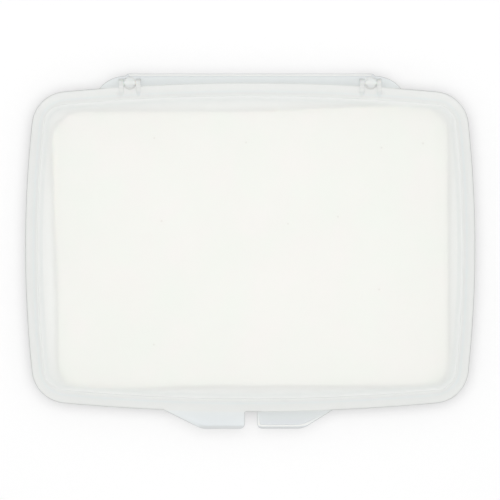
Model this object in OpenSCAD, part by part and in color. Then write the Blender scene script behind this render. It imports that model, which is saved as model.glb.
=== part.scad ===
// Wet palette: a hinged, see-through snap box that holds a damp sponge and a sheet of
// palette paper. Units are millimetres, +X is right, +Y is the hinge side, +Z is up.
// The tray stands on z = 0 and the origin is under the middle of the whole outline.

/* [Rim outline] */
// Width of the box across its end rims
palette_w = 230; // [190:1:280]
// Depth of the box across its front and back rims, without tabs and hinge shelf
palette_d = 168; // [138:1:204]
// Radius of the rim's corners
corner_r = 18; // [14:0.5:22]
// How far each end rim bows outwards
end_bow = 3.3; // [1:0.1:6]
// How far the front and the back rim bow outwards
long_bow = 4.3; // [1:0.1:8]

/* [Tray] */
// Height of the tray, from the table to the top of its rim
tray_h = 11; // [10:0.1:18]
// Thickness of the tray's walls and floor
tray_wall = 1.2; // [0.8:0.1:1.6]
// Thickness of the tray's rim
tray_rim_t = 1.2; // [0.8:0.1:1.6]
// Width of the rim outside the tray's wall
tray_rim_w = 3.6; // [3:0.1:4.5]
// How far the tray's wall leans in over its height
tray_draft = 0.6; // [0.2:0.1:1]
// Radius where the tray's wall turns into its floor, outside
tray_bottom_r = 2.4; // [1.5:0.1:4]
// Height of the foot ring under the floor
foot_h = 0.8; // [0.4:0.1:1.5]
// Width of the foot ring
foot_w = 3; // [2:0.1:5]
// Distance from the rounded bottom edge to the foot ring
foot_step = 1.5; // [0.5:0.1:4]

/* [Lid] */
// Thickness of the lid's walls and top
lid_wall = 1.2; // [0.8:0.1:1.6]
// Thickness of the lid's rim
lid_rim_t = 1.3; // [1.2:0.1:1.6]
// Width of the lid's rim outside its raised wall
lid_rim_w = 6.6; // [6.3:0.1:8]
// How far the lid's wall leans in over its height
lid_draft = 0.6; // [0.2:0.1:1.5]
// Radius of the lid's top edge
lid_top_r = 3.5; // [2.5:0.1:6]
// Gap between the closed rims
rim_gap = 0.25; // [0.15:0.05:0.4]

/* [Closure] */
// Thickness of the lid's tongue, which drops inside the tray's wall
tongue_t = 1; // [0.8:0.1:1.2]
// How far the tongue reaches below the tray's rim
tongue_drop = 1.8; // [1:0.1:2.5]
// Gap between the tongue and the tray's wall
tongue_gap = 0.3; // [0.2:0.05:0.5]
// Width of the catch at the front of the tongue
catch_w = 22; // [12:1:40]
// How far the catch stands out of the tongue
catch_reach = 0.55; // [0.4:0.05:0.8]
// Height of the catch
catch_h = 0.7; // [0.5:0.1:0.9]
// Height of the catch above the tongue's lower edge
catch_up = 0.3; // [0.2:0.1:0.6]
// Place of the catch's middle, right of the box's middle
catch_x = 1; // [-10:0.5:10]
// Gap round the catch in its recess
catch_gap = 0.3; // [0.2:0.05:0.4]
// Width of the seal ring
seal_w = 1.5; // [1:0.1:2]
// Depth of the seal's groove in the lid's rim
groove_depth = 0.6; // [0.4:0.1:0.8]
// Gap between the seal ring and what is round it
seal_gap = 0.1; // [0.05:0.05:0.2]

/* [Hinge] */
// Distance between the two hinge posts, centre to centre
hinge_span = 123; // [90:1:130]
// Height of the hinge axis above the tray's rim
hinge_rise = 2.5; // [2.5:0.1:3]
// Diameter of each hinge post
post_d = 5.4; // [4.6:0.1:5.6]
// How far a post's flat top lies above the hinge axis
post_top = 2.2; // [2:0.1:2.4]
// Radius of a post's top edge
post_edge_r = 0.6; // [0.3:0.1:0.8]
// Gap between a post and the notch in the lid's rim
notch_gap = 1; // [0.5:0.1:1.5]
// Diameter of the hinge pins
pin_d = 2.2; // [1.8:0.1:2.4]
// Width of each of the lid's hinge lugs
lug_w = 2.4; // [2:0.1:4]
// Wall of a lug round its pin
lug_wall = 1.05; // [0.8:0.05:1.2]
// Length of the wedge that joins a lug to the lid's rim, on the rim
wedge_l = 4; // [2:0.1:4.5]
// Gap between a post and the lug beside it
lug_gap = 0.5; // [0.3:0.1:1]
// Running clearance of a pin in its lugs, on the radius
pin_run = 0.05; // [0.02:0.01:0.1]
// Clearance of a pin in its post, on the radius
pin_seat = 0.02; // [0.01:0.01:0.05]
// How far the pins' ends lie inside the outer faces of the lugs
pin_inset = 0.2; // [0:0.1:0.5]
// Chamfer on the ends of the pins
pin_chamfer = 0.3; // [0.1:0.1:0.5]
// How high the opened lid lies above the table
open_gap = 0.4; // [0.2:0.1:1]

/* [Hinge shelf] */
// How far the shelf reaches behind the rim at its middle
shelf_reach = 4.8; // [4:0.1:5]
// How far the middle of the shelf stands past its ears
shelf_step = 1.1; // [0.5:0.1:2]
// Length of the middle of the shelf
shelf_w = 125.8; // [100:0.2:130]
// Radius of the rounded ears at the shelf's ends
ear_r = 17; // [12:0.5:24]
// Length of the slope at each end of the middle of the shelf
ear_slope = 1; // [0.5:0.1:2]
// Width of the raised lip along the shelf's edge
shelf_lip_w = 0.8; // [0.6:0.1:1.2]
// Height of the raised lips of the shelf and of the tray's tab
lip_h = 0.6; // [0.3:0.1:0.8]

/* [Pull tabs] */
// How far both tabs reach past the front rim at its middle
tab_reach = 8.7; // [6:0.1:14]
// Inner edge of the lid's tab, left of the middle
lid_tab_inner = 2.7; // [1.5:0.1:6]
// Where the slanted edge of the lid's tab meets its front edge, left of the middle
lid_tab_front = 25; // [18:0.5:32]
// Where the slanted edge of the lid's tab meets the rim, left of the middle
lid_tab_root = 42.5; // [36:0.5:60]
// Inner edge of the tray's tab, right of the middle
tray_tab_inner = 3.5; // [1.5:0.1:6]
// Where the slanted edge of the tray's tab meets its front edge, right of the middle
tray_tab_front = 27; // [18:0.5:32]
// Where the slanted edge of the tray's tab meets the rim, right of the middle
tray_tab_root = 41; // [36:0.5:60]
// Radius of a tab's inner corner
tab_corner_r = 2.6; // [1:0.1:4]
// Radius where a tab's slanted edge meets its front edge
tab_blend_r = 11; // [4:0.5:16]
// Width of the raised lip round the tray's tab
tab_lip_w = 1; // [0.6:0.1:1.5]
// Gap between that lip and the lid's rim
lip_gap = 0.6; // [0.4:0.1:1.5]

/* [Sponge and paper] */
// Distance from the end rims to the sponge and paper
pad_margin_x = 15.6; // [13:0.1:22]
// Distance from the front and back rims to the sponge and paper
pad_margin_y = 14.1; // [13:0.1:22]
// Radius of the sponge's and the paper's corners
pad_corner_r = 11.5; // [4:0.5:16]
// Thickness of the damp sponge
sponge_t = 4; // [2:0.1:5]
// Turn of the sponge as it lies in the tray, in degrees
sponge_turn = 2.2; // [0:0.1:3]
// Gap under the sponge
sponge_gap = 0.3; // [0.1:0.1:0.5]
// Thickness of the paper
paper_t = 0.2; // [0.1:0.05:0.4]
// Offset of the paper to the right
paper_x = 1.4; // [0:0.1:2]
// Offset of the paper to the front
paper_y = 0.6; // [0:0.1:2]

/* [Hidden] */

// Half sizes, and the centre of the corner in the +X +Y quarter
half_w = palette_w / 2;
half_d = palette_d / 2;
corner_x = half_w - corner_r - end_bow;
corner_y = half_d - corner_r - long_bow;

// Centre, radius and half angle of the long arcs, which meet the corner arcs smoothly
long_cy = bow_centre(half_d - corner_r, corner_x, corner_y);
long_r = half_d - long_cy;
long_angle = atan2(corner_x, corner_y - long_cy);
end_cx = bow_centre(half_w - corner_r, corner_y, corner_x);
end_r = half_w - end_cx;
end_angle = atan2(corner_y, corner_x - end_cx);

// Steps along the arcs of the outline, and along a small rounding
long_steps = 10;
end_steps = 8;
corner_steps = 8;
round_steps = 8;
fillet_steps = 4;

// Heights
axis_z = tray_h + hinge_rise;
palette_h = 2 * axis_z - open_gap;
lid_z = tray_h + rim_gap;
shelf_z = tray_h - tray_rim_t;
floor_top = foot_h + tray_wall;
sponge_z = floor_top + sponge_gap;
paper_z = sponge_z + sponge_t;
catch_z = tray_h - tongue_drop + catch_up;

// Insets from the rim's outline
tray_rim_in = 0.25;
wall_in = tray_rim_w + tray_wall;
wall_lean = tray_draft * tongue_drop / (tray_h - floor_top);
tongue_in = wall_in + wall_lean + tongue_gap;
seal_in = tray_rim_w + (tray_wall - seal_w) / 2;
foot_in = tray_rim_w + tray_draft + tray_bottom_r + foot_step;

// Hinge places and reaches, seen from the middle of the box
post_r = post_d / 2;
lug_r = pin_d / 2 + pin_run + lug_wall;
lug_x = post_r + lug_gap;
lug_end = lug_x + lug_w;
lug_reach = half_d - rim_y(hinge_span / 2 + lug_end) + wedge_l;
pin_l = 2 * (lug_end - pin_inset);
shelf_y = half_d + shelf_reach;
ear_y = shelf_y - shelf_step;
ear_x = shelf_w / 2 + ear_slope;
tab_y = -half_d - tab_reach;
lid_tab = [lid_tab_inner, lid_tab_front, lid_tab_root];
tray_tab = [tray_tab_inner, tray_tab_front, tray_tab_root];

// Size of the sponge and the paper
pad_w = palette_w - 2 * pad_margin_x;
pad_d = palette_d - 2 * pad_margin_y;

// How far the middle of the box lies behind the middle of the whole outline
body_y = (-tab_y - shelf_y) / 2;

// Overlap that joins shapes of one moulding, reach of a cut past a face, and a thin slice
weld = 0.4;
root = 3;
cut = 1;
slice = 0.01;

// Centre of a long arc that ends smoothly on a corner arc
function bow_centre(reach, across, along) =
    (pow(reach, 2) - pow(across, 2) - pow(along, 2)) / (2 * (reach - along));

// Points along an arc, with or without the last one
function arc(centre, radius, from, to, steps, last = 0) = [
    for (i = [0 : steps - 1 + last])
    let (a = from + (to - from) * i / steps)
    centre + radius * [cos(a), sin(a)]
];

// Half of the rim's outline, moved inwards by inset: right end, corner, back, corner
function half_outline(inset) = concat(
    arc([end_cx, 0], end_r - inset, -end_angle, end_angle, end_steps),
    arc([corner_x, corner_y], corner_r - inset, end_angle, 90 - long_angle, corner_steps),
    arc([0, long_cy], long_r - inset, 90 - long_angle, 90 + long_angle, long_steps),
    arc([-corner_x, corner_y], corner_r - inset, 90 + long_angle, 180 - end_angle, corner_steps)
);
function outline(inset) = concat(half_outline(inset), -half_outline(inset));

// Where the back rim is, at a distance from the middle
function rim_y(x) = long_cy + sqrt(pow(long_r, 2) - pow(x, 2));

// The points that round one corner [x, y, radius] of a path
function rounded_corner(before, corner, after) =
    let (
        p = [corner.x, corner.y],
        u = unit([before.x, before.y] - p),
        v = unit([after.x, after.y] - p),
        half = acos(u * v) / 2,
        centre = p + unit(u + v) * corner.z / sin(half),
        foot = p + u * corner.z / tan(half) - centre,
        start = atan2(foot.y, foot.x),
        turn = u.x * v.y > u.y * v.x ? 2 * half - 180 : 180 - 2 * half
    )
    corner.z == 0 ? [p] : arc(centre, corner.z, start, start + turn, round_steps, 1);
function unit(v) = v / norm(v);

// A closed path of corners [x, y, radius], each of them rounded
function rounded_path(corners) =
    let (n = len(corners))
    [
        for (i = [0 : n - 1])
        each rounded_corner(corners[(i + n - 1) % n], corners[i], corners[(i + 1) % n])
    ];

// A plate in the shape of the rim's outline
module rim_plate(inset, z, height) {
    translate([0, 0, z])
        linear_extrude(height)
            polygon(outline(inset));
}

// A ring that follows the outline
module rim_ring(inset, width, z, height) {
    translate([0, 0, z])
        linear_extrude(height)
            difference() {
                polygon(outline(inset));
                polygon(outline(inset + width));
            }
}

// A length of such a ring at the front, round the catch
module front_band(inset, width, z, height, length) {
    intersection() {
        rim_ring(inset, width, z, height);
        translate([catch_x - length / 2, -palette_d, z - cut])
            cube([length, palette_d, height + 2 * cut]);
    }
}

// A solid bowl or dome: it leans in by draft and ends flat at end_z, with a round edge
module shell_solid(inset, z, end_z, draft, edge_r) {
    up = end_z > z ? 1 : -1;
    hull() {
        rim_plate(inset, min(z, z + up * slice), slice);
        for (i = [0 : fillet_steps]) {
            a = 90 * i / fillet_steps;
            edge_z = end_z - up * edge_r * (1 - sin(a));
            edge_in = inset + draft + edge_r * (1 - cos(a));
            rim_plate(edge_in, min(edge_z, edge_z - up * slice), slice);
        }
    }
}

// Shapes are drawn round the middle of the box, then centred with its tabs and shelf
module centred() {
    translate([0, body_y, 0])
        children();
}

// Both hinge places
module at_hinges() {
    for (side = [-1, 1])
        at_hinge(side)
            children();
}

module at_hinge(side) {
    translate([side * hinge_span / 2, half_d, axis_z])
        children();
}

module x_cylinder(radius, length) {
    rotate([0, 90, 0])
        cylinder(r = radius, h = length, center = true, $fn = 48);
}

// A pull tab on the right of the middle, moved inwards by inset. Its places are [inner
// edge, where the slanted edge starts, where that edge meets the rim].
module tab_plate(places, inset, z, height) {
    slant = atan2(tab_reach, places[2] - places[1]);
    root_y = root - half_d;
    inner_x = places[0] + inset;
    front_x = places[1] - inset * tan(slant / 2);
    root_x = places[1] + ((root_y - tab_y) * cos(slant) - inset) / sin(slant);
    translate([0, 0, z])
        linear_extrude(height)
            polygon(rounded_path([
                [inner_x, root_y, 0],
                [inner_x, tab_y + inset, tab_corner_r - inset],
                [front_x, tab_y + inset, tab_blend_r - inset],
                [root_x, root_y, 0]
            ]));
}

// The raised lip round the tray's tab, as far as the lid leaves it free
module tab_lip() {
    height = weld + lip_h;
    difference() {
        tab_plate(tray_tab, 0, tray_h - weld, height);
        tab_plate(tray_tab, tab_lip_w, tray_h - weld - cut, height + 2 * cut);
        rim_plate(-lip_gap, tray_h - weld - cut, height + 2 * cut);
    }
}

// The shelf behind the rim: a strip with a raised lip, and a rounded ear at each end
module hinge_shelf() {
    root_y = rim_y(ear_x) - root;
    translate([0, 0, shelf_z])
        linear_extrude(tray_rim_t)
            polygon([
                [-ear_x, root_y],
                [ear_x, root_y],
                [ear_x, ear_y],
                [shelf_w / 2, shelf_y],
                [-shelf_w / 2, shelf_y],
                [-ear_x, ear_y]
            ]);
    for (side = [0, 1])
        mirror([side, 0, 0])
            hinge_ear();
    translate([-shelf_w / 2, shelf_y - shelf_lip_w, tray_h - weld])
        cube([shelf_w, shelf_lip_w, weld + lip_h]);
}

// An ear on the right: it curves down until it is under the rim
module hinge_ear() {
    ear_turn = 65;
    translate([0, 0, shelf_z])
        linear_extrude(tray_rim_t)
            polygon(concat(
                [[ear_x - weld, rim_y(ear_x) - root], [ear_x - weld, ear_y]],
                arc([ear_x, ear_y - ear_r], ear_r, 90, 90 - ear_turn, corner_steps, 1),
                [[ear_x + ear_r * sin(ear_turn) - root, rim_y(ear_x) - root - weld]]
            ));
}

// A round post with a flat top, whose edge is rounded, seen from the hinge axis
module hinge_post() {
    edge = [post_r - post_edge_r, post_top - post_edge_r];
    rotate_extrude($fn = 48)
        polygon(concat(
            [[0, -hinge_rise - weld], [post_r, -hinge_rise - weld]],
            arc(edge, post_edge_r, 0, 90, fillet_steps, 1),
            [[0, post_top]]
        ));
}

// The pair of lugs beside a post: a barrel on a wedge that runs down to the rim
module hinge_lugs() {
    drop = lid_z - axis_z;
    for (side = [-1, 1])
        translate([side * (lug_x + lug_w / 2), 0, 0]) {
            x_cylinder(lug_r, lug_w);
            translate([-lug_w / 2, 0, 0])
                rotate([90, 0, 90])
                    linear_extrude(lug_w)
                        polygon([
                            [0, drop],
                            [0, lug_r],
                            [-lug_reach, drop + lid_rim_t],
                            [-lug_reach, drop]
                        ]);
        }
}

// The lid's rim, notched round the hinge posts
module lid_rim() {
    difference() {
        rim_plate(0, lid_z, lid_rim_t);
        at_hinges()
            translate([0, 0, lid_z - axis_z - cut])
                cylinder(r = post_r + notch_gap, h = lid_rim_t + 2 * cut, $fn = 48);
    }
}

module base_tray() {
    color("gainsboro")
        centred()
            difference() {
                union() {
                    shell_solid(tray_rim_w, tray_h - weld, foot_h, tray_draft, tray_bottom_r);
                    rim_plate(tray_rim_in, shelf_z, tray_rim_t);
                    rim_ring(foot_in, foot_w, 0, foot_h + weld);
                    hinge_shelf();
                    tab_plate(tray_tab, 0, shelf_z, tray_rim_t);
                    tab_lip();
                    at_hinges()
                        hinge_post();
                }
                shell_solid(wall_in, tray_h + cut, floor_top, tray_draft, tray_bottom_r - tray_wall);
                front_band(
                    wall_in - catch_gap - weld,
                    catch_gap + weld + cut,
                    catch_z - catch_gap,
                    catch_h + 2 * catch_gap,
                    catch_w + 2 * catch_gap
                );
                at_hinges()
                    x_cylinder(pin_d / 2 + pin_seat, post_d + 2 * cut);
            }
}

module lid() {
    color("aliceblue")
        centred()
            difference() {
                union() {
                    shell_solid(lid_rim_w, lid_z + weld, palette_h, lid_draft, lid_top_r);
                    lid_rim();
                    rim_ring(tongue_in, tongue_t, tray_h - tongue_drop, tongue_drop + rim_gap + weld);
                    front_band(tongue_in - catch_reach, catch_reach + weld, catch_z, catch_h, catch_w);
                    mirror([1, 0, 0])
                        tab_plate(lid_tab, 0, lid_z, lid_rim_t);
                    at_hinges()
                        hinge_lugs();
                }
                shell_solid(
                    lid_rim_w + lid_wall,
                    lid_z - cut,
                    palette_h - lid_wall,
                    lid_draft,
                    lid_top_r - lid_wall
                );
                rim_ring(seal_in - seal_gap, seal_w + 2 * seal_gap, lid_z - cut, groove_depth + cut);
                at_hinges()
                    x_cylinder(pin_d / 2 + pin_run, 2 * (lug_end + cut));
            }
}

module seal_ring() {
    color("lightblue")
        centred()
            rim_ring(seal_in, seal_w, tray_h + seal_gap, rim_gap + groove_depth - 2 * seal_gap);
}

// A pin with chamfered ends, centred on the axis
module hinge_pin() {
    rotate([0, 90, 0])
        rotate_extrude($fn = 48)
            polygon([
                [0, -pin_l / 2],
                [pin_d / 2 - pin_chamfer, -pin_l / 2],
                [pin_d / 2, pin_chamfer - pin_l / 2],
                [pin_d / 2, pin_l / 2 - pin_chamfer],
                [pin_d / 2 - pin_chamfer, pin_l / 2],
                [0, pin_l / 2]
            ]);
}

module hinge_pin_left() {
    color("white")
        centred()
            at_hinge(-1)
                hinge_pin();
}

module hinge_pin_right() {
    color("white")
        centred()
            at_hinge(1)
                hinge_pin();
}

// A sheet of the sponge's and the paper's common size
module pad(thickness) {
    linear_extrude(thickness)
        polygon(rounded_path([
            [-pad_w / 2, -pad_d / 2, pad_corner_r],
            [pad_w / 2, -pad_d / 2, pad_corner_r],
            [pad_w / 2, pad_d / 2, pad_corner_r],
            [-pad_w / 2, pad_d / 2, pad_corner_r]
        ]));
}

module sponge() {
    color("lemonchiffon")
        centred()
            translate([0, 0, sponge_z])
                rotate([0, 0, sponge_turn])
                    pad(sponge_t);
}

module palette_paper() {
    color("snow")
        centred()
            translate([paper_x, -paper_y, paper_z])
                pad(paper_t);
}

base_tray();
lid();
seal_ring();
hinge_pin_left();
hinge_pin_right();
sponge();
palette_paper();
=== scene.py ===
"""Looks of the wet palette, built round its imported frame.

Sizes are in millimetres and become metres when a mesh is made. +X is right, +Y is the hinge
side, +Z is up, as in the frame. Shapes are drawn round the middle of the box, which lies
BODY_Y behind the middle of the whole outline.
"""

import math

import bmesh
import bpy
from mathutils import Matrix, Vector, noise


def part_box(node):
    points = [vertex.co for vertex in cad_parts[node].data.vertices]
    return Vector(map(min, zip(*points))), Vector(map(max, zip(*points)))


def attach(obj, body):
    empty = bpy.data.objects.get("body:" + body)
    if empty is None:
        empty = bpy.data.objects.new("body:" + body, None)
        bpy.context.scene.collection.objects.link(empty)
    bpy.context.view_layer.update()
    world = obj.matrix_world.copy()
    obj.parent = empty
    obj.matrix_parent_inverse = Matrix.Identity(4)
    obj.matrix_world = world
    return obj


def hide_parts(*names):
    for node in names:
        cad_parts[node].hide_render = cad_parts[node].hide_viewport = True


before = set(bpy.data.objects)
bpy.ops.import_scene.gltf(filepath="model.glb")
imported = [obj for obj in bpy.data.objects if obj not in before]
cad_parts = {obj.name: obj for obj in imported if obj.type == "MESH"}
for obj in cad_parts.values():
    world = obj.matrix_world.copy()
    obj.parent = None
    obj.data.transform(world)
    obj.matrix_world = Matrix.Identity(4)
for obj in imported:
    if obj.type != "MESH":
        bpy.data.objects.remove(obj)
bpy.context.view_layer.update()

MM = 0.001


def frame_box(node):
    """Lowest and highest corner of a CAD node, in millimetres."""
    low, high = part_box(node)
    return low / MM, high / MM


LID_LOW, LID_HIGH = frame_box("lid")
TRAY_LOW, TRAY_HIGH = frame_box("base_tray")
PAPER_LOW, PAPER_HIGH = frame_box("palette_paper")
SPONGE_LOW, SPONGE_HIGH = frame_box("sponge")
SEAL_LOW, SEAL_HIGH = frame_box("seal_ring")
PIN_LOW, PIN_HIGH = frame_box("hinge_pin_right")

# Reach of the pull tabs and of the hinge shelf past the rim
TAB_REACH = 8.7
SHELF_REACH = 4.8

# The lid rim's outline: half sizes, corner radius, how far its sides bow outwards, and how
# far inside it the tray's rim lies
HALF_W = (LID_HIGH.x - LID_LOW.x) / 2
HALF_D = (TRAY_HIGH.y - TRAY_LOW.y - TAB_REACH - SHELF_REACH) / 2
CORNER_R = 18.0
END_BOW = 3.3
LONG_BOW = 4.3
TRAY_INSET = 0.25
BODY_Y = (TAB_REACH - SHELF_REACH) / 2
STRIP_Y = HALF_D + SHELF_REACH

# Heights, thicknesses and edge radii of the tray and of the lid
TRAY_H = 11.0
TRAY_RIM_T = 1.2
TRAY_EDGE_R = 0.3
FOOT_H = 0.8
FLOOR_TOP = 2.0
TONGUE_H = 2.05
LID_Z = LID_LOW.z + TONGUE_H
LID_RIM_T = 1.3
LID_RIM_TOP = LID_Z + LID_RIM_T
LID_EDGE_R = 0.35
LID_TOP = LID_HIGH.z
LID_WALL = 1.2

# Hinge: the tray's posts in low collars, the lid's notches round them, the pins' bores, and
# the lid's lugs beside the posts
AXIS_Z = (PIN_LOW.z + PIN_HIGH.z) / 2
HINGE_X = (PIN_LOW.x + PIN_HIGH.x) / 2
POST_R = 2.7
POST_TOP = AXIS_Z + 2.2
POST_EDGE_R = 0.4
COLLAR_R = 3.1
COLLAR_TOP = 12.5
COLLAR_EDGE = 0.15
NOTCH_R = 3.3
BORE_POST = 1.12
BORE_LUG = 1.15
LUG_R = 2.2
LUG_W = 2.4
LUG_X = 3.2
LUG_END = LUG_X + LUG_W


def bow_centre(reach, across, along):
    """Centre of a long arc that ends smoothly on a corner arc."""
    return (reach**2 - across**2 - along**2) / (2 * (reach - along))


CORNER_X = HALF_W - CORNER_R - END_BOW
CORNER_Y = HALF_D - CORNER_R - LONG_BOW
LONG_CY = bow_centre(HALF_D - CORNER_R, CORNER_X, CORNER_Y)
LONG_R = HALF_D - LONG_CY
LONG_ANGLE = math.degrees(math.atan2(CORNER_X, CORNER_Y - LONG_CY))
END_CX = bow_centre(HALF_W - CORNER_R, CORNER_Y, CORNER_X)
END_R = HALF_W - END_CX
END_ANGLE = math.degrees(math.atan2(CORNER_Y, CORNER_X - END_CX))


# ---------- outlines


def direction(degrees):
    angle = math.radians(degrees)
    return Vector((math.cos(angle), math.sin(angle)))


def quarter_turn(steps):
    return [direction(90 * i / steps) for i in range(steps + 1)]


def arc(centre, radius, start, end, steps, last=False):
    """Points along an arc, with or without the last one."""
    turn = (end - start) / steps
    return [Vector(centre) + radius * direction(start + turn * i) for i in range(steps + last)]


def outline(inset):
    """The rim's outline, moved inwards by inset, counter-clockwise from the right end."""
    corner_r = CORNER_R - inset
    half = arc((END_CX, 0), END_R - inset, 0, END_ANGLE, steps=20)
    half += arc((CORNER_X, CORNER_Y), corner_r, END_ANGLE, 90 - LONG_ANGLE, steps=16)
    half += arc((0, LONG_CY), LONG_R - inset, 90 - LONG_ANGLE, 90 + LONG_ANGLE, steps=60)
    half += arc((-CORNER_X, CORNER_Y), corner_r, 90 + LONG_ANGLE, 180 - END_ANGLE, steps=16)
    half += arc((-END_CX, 0), END_R - inset, 180 - END_ANGLE, 180, steps=20)
    return half + [-p for p in half]


def rim_y(x, inset=0.0):
    """Where the back rim is, at a distance from the middle."""
    return LONG_CY + math.sqrt((LONG_R - inset) ** 2 - x**2)


def rim_inset(x, y):
    """How far in from the rim's outline a place is. Below 0 is outside it."""
    x, y = abs(x), abs(y)
    if math.degrees(math.atan2(x, y - LONG_CY)) < LONG_ANGLE:
        return LONG_R - math.hypot(x, y - LONG_CY)
    if math.degrees(math.atan2(y, x - END_CX)) < END_ANGLE:
        return END_R - math.hypot(x - END_CX, y)
    return CORNER_R - math.hypot(x - CORNER_X, y - CORNER_Y)


def rounded_corner(before, corner, after, radius, steps=8):
    """The points that round one corner of a path."""
    if radius == 0:
        return [corner]
    u = (before - corner).normalized()
    v = (after - corner).normalized()
    half = math.acos(max(-1.0, min(1.0, u.dot(v)))) / 2
    centre = corner + (u + v).normalized() * radius / math.sin(half)
    foot = corner + u * radius / math.tan(half) - centre
    start = math.degrees(math.atan2(foot.y, foot.x))
    turn = 180 - 2 * math.degrees(half)
    if u.x * v.y > u.y * v.x:
        turn = -turn
    return arc(centre, radius, start, start + turn, steps, last=True)


def rounded_path(corners):
    """A closed path of (point, radius) corners, each of them rounded."""
    points = [Vector(point) for point, _ in corners]
    path = []
    for i, (_, radius) in enumerate(corners):
        after = points[(i + 1) % len(points)]
        path += rounded_corner(points[i - 1], points[i], after, radius)
    return path


def stretch(inset, back, low, high=math.inf):
    """Plain corners along the back or the front outline between two X."""
    points = outline(inset)
    middle = len(points) // 2
    half = points[:middle] if back else points[middle + 1 :]
    return [(p, 0.0) for p in half if low < p.x < high]


def mirrored(corners):
    """The same corners on the other side of the middle, in the other order."""
    return [(Vector((-p.x, p.y)), radius) for p, radius in reversed(corners)]


# Tabs: inner edge, start of the slanted edge, and where that edge meets the rim
LID_TAB = (2.7, 25.0, 42.5)
TRAY_TAB = (3.5, 27.0, 41.0)
TAB_CORNER_R = 2.6
TAB_BLEND_R = 11.0

# Notches: radius at the corners of the mouth, and the degrees of arc left out for them
MOUTH_R = 0.5
MOUTH_TURN = 14

# Hinge shelf: half length of its strip, the step down at its ends, and its rounded ears
STRIP_X = 62.9
SHELF_STEP = 1.1
EAR_X = 63.9
EAR_R = 17.0
EAR_START = 9
SHELF_ROOT_X = 75.5

# Lengths of the rim left out for the rounded roots of tabs, notches and ears
INNER_ROOT_GAP = 1.5
SLANT_ROOT_GAP = 4.5
NOTCH_GAP = 0.9
EAR_ROOT_GAP = 3.5

# Raised lips along the shelf's strip, up to LIP_END, and round the tray's tab
LIP_H = 0.6
SHELF_LIP_W = 0.9
TAB_LIP_W = 1.35
FRONT_LIP_W = 1.7
LIP_EDGE = 0.15
LIP_END = 62.3
LIP_FADE = 0.25
LIP_GAP = 0.6

# The part of the front that holds the tabs and the catch
FRONT_HALF = 60.0
FRONT_WALL_Y = -70.0


def slant_root(front_x, root_x, inset):
    """Where a tab's slanted edge meets the front rim, right of the middle."""
    slope = TAB_REACH / (root_x - front_x)
    x = root_x
    for _ in range(20):
        x = front_x + (HALF_D + TAB_REACH - rim_y(x, inset)) / slope
    return x


def tab_corners(inner_x, front_x, root_x, inset):
    """A tab on the right of the middle, from its inner root to its slanted root."""
    front_y = -HALF_D - TAB_REACH
    slant_x = slant_root(front_x, root_x, inset)
    return [
        (Vector((inner_x, -rim_y(inner_x, inset))), 0.7),
        (Vector((inner_x, front_y)), TAB_CORNER_R),
        (Vector((front_x, front_y)), TAB_BLEND_R),
        (Vector((slant_x, -rim_y(slant_x, inset))), 3.0),
    ]


def notch_corners(side):
    """The lid's round notch at a hinge post, walked from right to left."""
    centre = Vector((side * HINGE_X, HALF_D))
    circle = {angle: centre + NOTCH_R * direction(angle) for angle in range(180, 361)}
    cuts = [angle for angle, p in circle.items() if p.y < rim_y(p.x)]
    left, right = cuts[0], cuts[-1]
    inner = arc(centre, NOTCH_R, right - MOUTH_TURN, left + MOUTH_TURN, steps=14, last=True)
    plain = [(p, 0.0) for p in inner]
    return [(circle[right], MOUTH_R)] + plain + [(circle[left], MOUTH_R)]


def lid_contour():
    """The lid's outer edge with its pull tab and its two hinge notches."""
    tab = mirrored(tab_corners(*LID_TAB, 0.0))
    tab_from, tab_to = tab[0][0].x - SLANT_ROOT_GAP, tab[-1][0].x + INNER_ROOT_GAP
    notch = NOTCH_R + NOTCH_GAP
    right = stretch(0, True, HINGE_X + notch)
    middle = stretch(0, True, notch - HINGE_X, HINGE_X - notch)
    left = stretch(0, True, -math.inf, -HINGE_X - notch)
    back = right + notch_corners(1) + middle + notch_corners(-1) + left
    front = stretch(0, False, -math.inf, tab_from) + tab + stretch(0, False, tab_to)
    return rounded_path(back + front)


def ear_corners():
    """The shelf's right ear, from the rim to the strip."""
    centre = Vector((EAR_X, STRIP_Y - SHELF_STEP - EAR_R))
    angle = 0.0
    root = centre + EAR_R * direction(angle)
    while root.y <= rim_y(root.x, TRAY_INSET):
        angle += 0.25
        root = centre + EAR_R * direction(angle)
    curve = arc(centre, EAR_R, angle + EAR_START, 86, steps=10, last=True)
    step_foot = (Vector((EAR_X, STRIP_Y - SHELF_STEP)), 0.9)
    step_top = (Vector((STRIP_X, STRIP_Y)), 0.7)
    return [(root, 2.0)] + [(p, 0.0) for p in curve] + [step_foot, step_top]


def tray_contour():
    """The tray's outer edge with its hinge shelf and its pull tab."""
    ear = ear_corners()
    shelf_end = ear[0][0].x + EAR_ROOT_GAP
    lip_rise = [LIP_END, LIP_END - LIP_FADE]
    marks = lip_rise + list(range(60, -61, -6)) + [-x for x in reversed(lip_rise)]
    strip = [(Vector((x, STRIP_Y)), 0.0) for x in marks]
    tab = tab_corners(*TRAY_TAB, TRAY_INSET)
    tab_from, tab_to = tab[0][0].x - INNER_ROOT_GAP, tab[-1][0].x + SLANT_ROOT_GAP
    right = stretch(TRAY_INSET, True, shelf_end)
    left = stretch(TRAY_INSET, True, -math.inf, -shelf_end)
    front_left = stretch(TRAY_INSET, False, -math.inf, tab_from)
    front_right = stretch(TRAY_INSET, False, tab_to)
    back = right + ear + strip + mirrored(ear) + left
    return rounded_path(back + front_left + tab + front_right)


def smooth_step(t):
    t = max(0.0, min(1.0, t))
    return t * t * (3 - 2 * t)


def lip_share(p):
    """How much of the raised lip stands at a point of the tray's contour."""
    if p.y > STRIP_Y - 0.01:
        return smooth_step((LIP_END - abs(p.x)) / LIP_FADE)
    if p.y < 0 and 0 < p.x < FRONT_HALF:
        return smooth_step((-rim_y(p.x) - LIP_GAP / 2 - p.y) / LIP_GAP)
    return 0.0


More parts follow.
